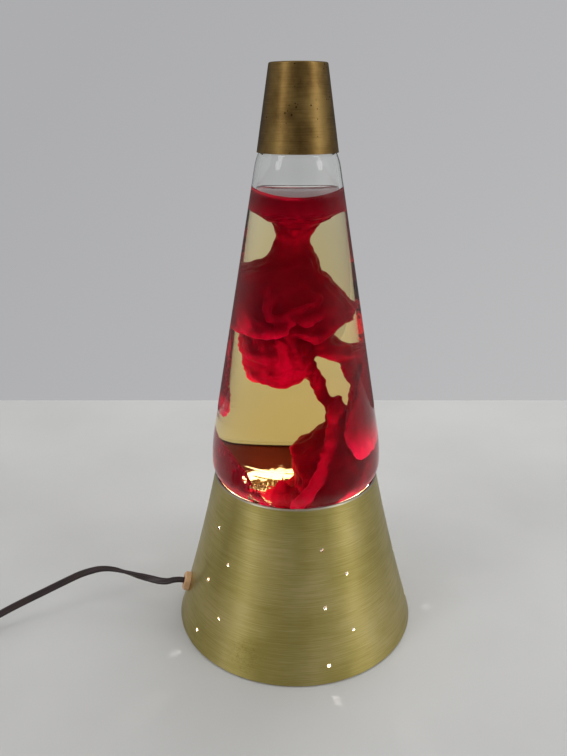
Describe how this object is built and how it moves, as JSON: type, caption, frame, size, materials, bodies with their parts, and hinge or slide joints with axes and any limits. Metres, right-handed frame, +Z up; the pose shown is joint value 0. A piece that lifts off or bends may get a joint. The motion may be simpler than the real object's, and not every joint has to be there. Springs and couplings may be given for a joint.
{
  "type": "liquid motion lamp",
  "caption": "Tapering glass globe of liquid and wax standing in a flared metal base with an incandescent bulb, under a tapered metal cap, with a flat cord, line switch and plug.",
  "frame": {"origin": "centre of the base's foot ring, on the table", "axes": "+Z up along the lamp's axis, -Y towards the front that the picture shows, the cord leaves near -X"},
  "size_m": [0.4886, 0.1942, 0.406],
  "materials": {
    "gold_anodised": "brushed round the axis on a spun cone, gold anodised",
    "black_steel": "satin black paint",
    "zinc_steel": "zinc plated",
    "tan_nylon": "moulded, faintly matt",
    "phenolic": "moulded, dull",
    "brass": "stamped, bright",
    "cord_vinyl": "extruded vinyl, soft sheen",
    "bulb_glass": "clear, thin",
    "bulb_aluminium": "rolled thread, bright",
    "vitrite": "black glassy insulator",
    "solder": "dull solder",
    "support_wire": "drawn wire",
    "tungsten": "glowing when lit",
    "globe_glass": "clear blown glass",
    "amber_liquid": "clear yellow-green liquid",
    "red_wax": "translucent red wax, waxy sheen",
    "coil_steel": "wound wire",
    "liner_plastisol": "soft moulded liner",
    "tinplate": "gold lacquered tinplate",
    "brown_anodised": "spun, brown-brass anodised, fine dark pits",
    "black_polyethylene": "extruded strip",
    "brown_thermoplastic": "moulded, soft gloss",
    "wheel_thermoplastic": "moulded, notched rim",
    "plug_vinyl": "moulded, soft gloss"
  },
  "bodies": {
    "base": {"base_shell": "gold_anodised", "bottom_plate": "black_steel", "plate_screws": "zinc_steel", "strain_relief": "tan_nylon", "socket_body": "phenolic", "socket_shell": "brass", "socket_contact": "brass", "socket_screws": "zinc_steel", "terminal_plates": "brass", "terminal_screws": "zinc_steel", "inner_leads": "cord_vinyl", "cord_run": "cord_vinyl", "cord_coil": "cord_vinyl", "cord_tie": "black_polyethylene", "switch_lower": "brown_thermoplastic", "switch_upper": "brown_thermoplastic", "switch_screw": "zinc_steel", "switch_contacts": "brass", "plug_body": "plug_vinyl", "plug_blades": "brass"},
    "bulb": {"bulb_envelope": "bulb_glass", "bulb_cap": "bulb_aluminium", "bulb_insulator": "vitrite", "bulb_contact": "solder", "bulb_stem": "bulb_glass", "bulb_supports": "support_wire", "bulb_filament": "tungsten"},
    "globe": {"globe_glass": "globe_glass", "liquid": "amber_liquid", "wax": "red_wax", "heating_coil": "coil_steel", "crown_liner": "liner_plastisol", "crown_cap": "tinplate"},
    "cap": {"top_cap": "brown_anodised"},
    "switch_wheel": {"switch_wheel": "wheel_thermoplastic"}
  },
  "joints": [
    {"name": "globe_lift", "type": "slide", "parent": "base", "child": "globe", "axis": [0, 0, 1], "range_m": [0, 0.1]},
    {"name": "cap_lift", "type": "slide", "parent": "globe", "child": "cap", "axis": [0, 0, 1], "range_m": [0, 0.06]},
    {"name": "bulb_turn", "type": "hinge", "parent": "base", "child": "bulb", "pos_m": [0, 0, 0.02], "axis": [0, 0, 1], "range_deg": [0, 1800]},
    {"name": "wheel_turn", "type": "hinge", "parent": "base", "child": "switch_wheel", "pos_m": [-0.28268, -0.06625, 0.0075], "axis": [0, 0, 1], "continuous": true}
  ]
}
